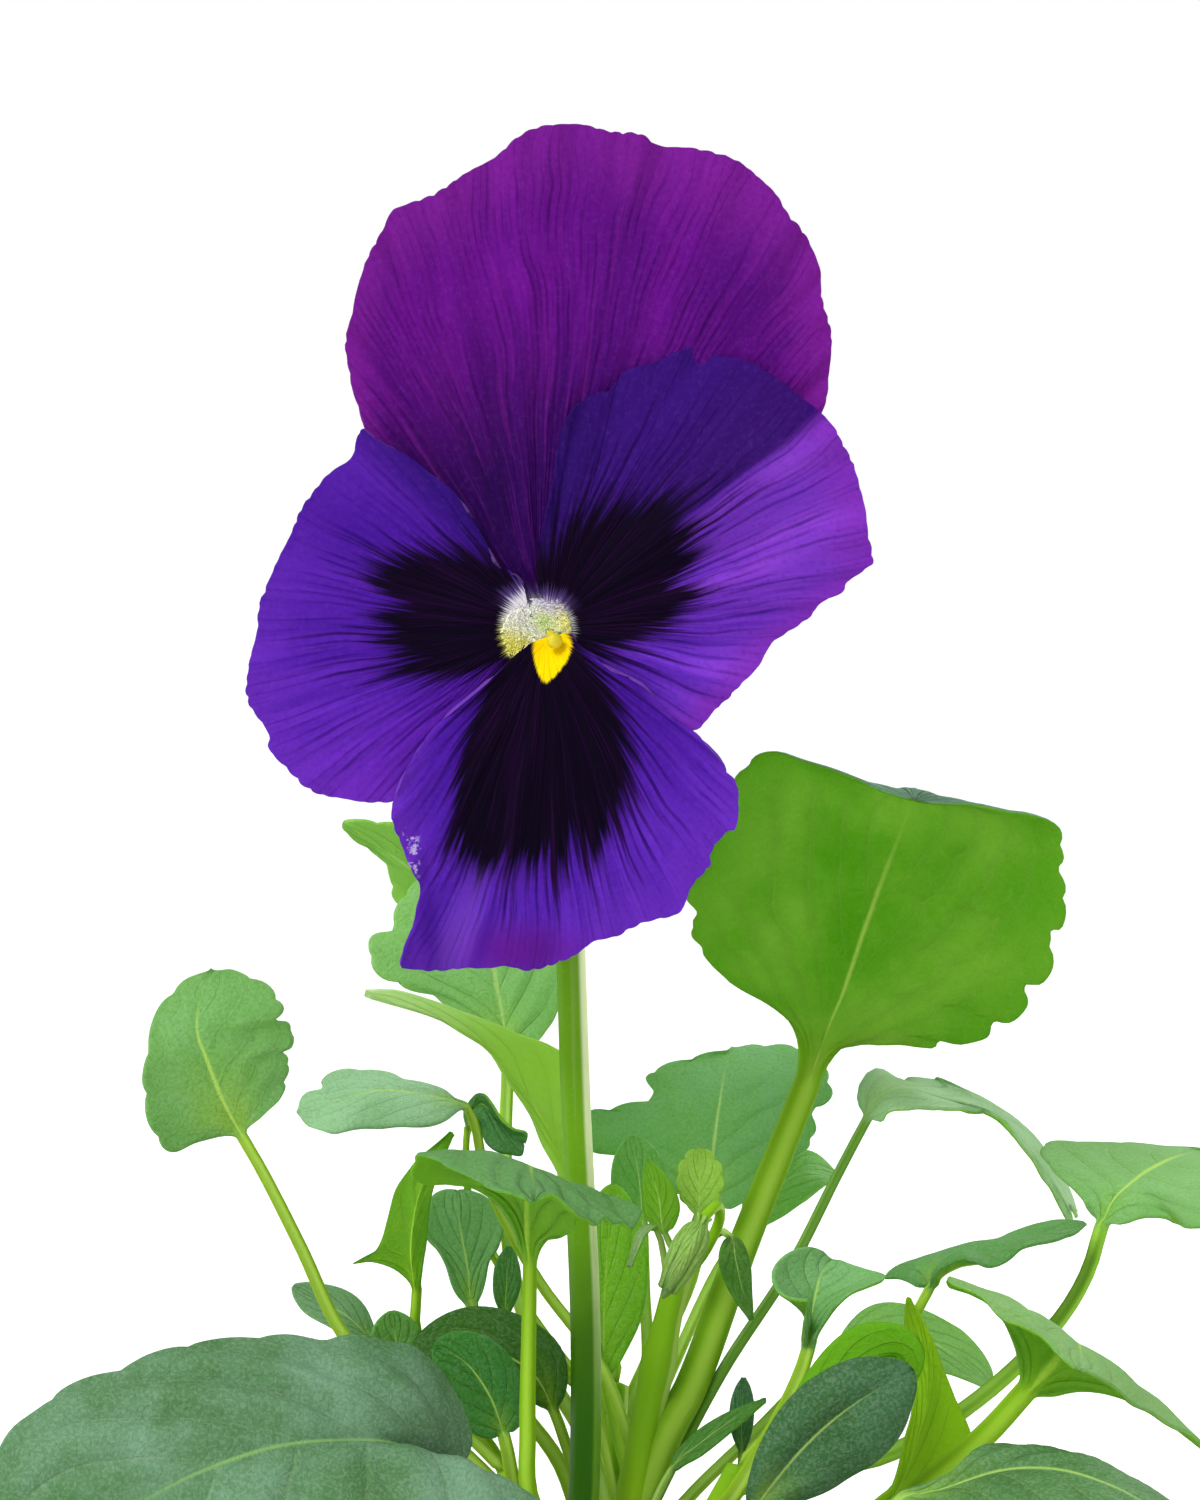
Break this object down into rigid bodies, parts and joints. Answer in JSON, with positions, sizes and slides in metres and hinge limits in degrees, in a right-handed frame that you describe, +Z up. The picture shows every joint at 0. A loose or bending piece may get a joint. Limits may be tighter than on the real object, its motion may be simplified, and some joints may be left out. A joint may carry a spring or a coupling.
{
  "type": "potted pansy",
  "caption": "Garden pansy with a purple and violet dark-blotched bloom, a bud and scalloped leaves, growing in a plain clay pot.",
  "frame": {"origin": "middle of the pot's foot, on the surface that it stands on", "axes": "+Z up along the pot and the stems, -Y towards the side that the flower faces, +X to the right of a viewer who looks at the flower"},
  "size_m": [0.1201, 0.1044, 0.2505],
  "materials": {
    "terracotta": "matte",
    "potting_mix": "matte",
    "stem": "satin",
    "leaf": "satin",
    "petal_upper": "matte",
    "petal_side": "matte",
    "petal_lower": "matte",
    "sepal": "satin",
    "pistil": "satin",
    "anther": "matte",
    "bud": "satin"
  },
  "bodies": {
    "root": {"pot": "terracotta", "potting_mix": "potting_mix", "main_stem": "stem", "shoot_left": "stem", "shoot_right": "stem", "shoot_back": "stem", "shoot_front": "stem", "flower_stalk": "stem", "petal_upper_rear": "petal_upper", "petal_upper_front": "petal_upper", "petal_side_left": "petal_side", "petal_side_right": "petal_side", "petal_lower": "petal_lower", "sepal_1": "sepal", "sepal_2": "sepal", "sepal_3": "sepal", "sepal_4": "sepal", "sepal_5": "sepal", "pistil": "pistil", "anther_cone": "anther", "bud": "bud", "bud_stalk": "stem", "leaf_tall_right": "leaf", "leaf_far_left": "leaf", "leaf_front_left": "leaf", "leaf_low_left_small": "leaf", "leaf_low_left_round": "leaf", "leaf_left_arch": "leaf", "leaf_left_round": "leaf", "leaf_left_upright": "leaf", "leaf_left_spoon": "leaf", "leaf_left_folded": "leaf", "leaf_centre_funnel": "leaf", "leaf_back_left_high": "leaf", "leaf_back_left_broad": "leaf", "leaf_sweeping": "leaf", "leaf_middle_left": "leaf", "leaf_middle_left_small": "leaf", "leaf_back_right_broad": "leaf", "leaf_back_right_small": "leaf", "leaf_back_right_low": "leaf", "leaf_right_arching": "leaf", "leaf_far_right": "leaf", "leaf_right_funnel": "leaf", "leaf_right_curled": "leaf", "leaf_right_middle": "leaf", "leaf_front_oval": "leaf", "leaf_right_lime": "leaf", "leaf_right_pale": "leaf", "leaf_right_band": "leaf", "leaf_front_right": "leaf", "leaf_right_tiny": "leaf", "leaf_centre_bright": "leaf", "leaf_young_top": "leaf", "stipule_top": "leaf", "stipule_hanging": "leaf", "stipule_right": "leaf", "stipule_thin": "leaf"}
  },
  "joints": []
}
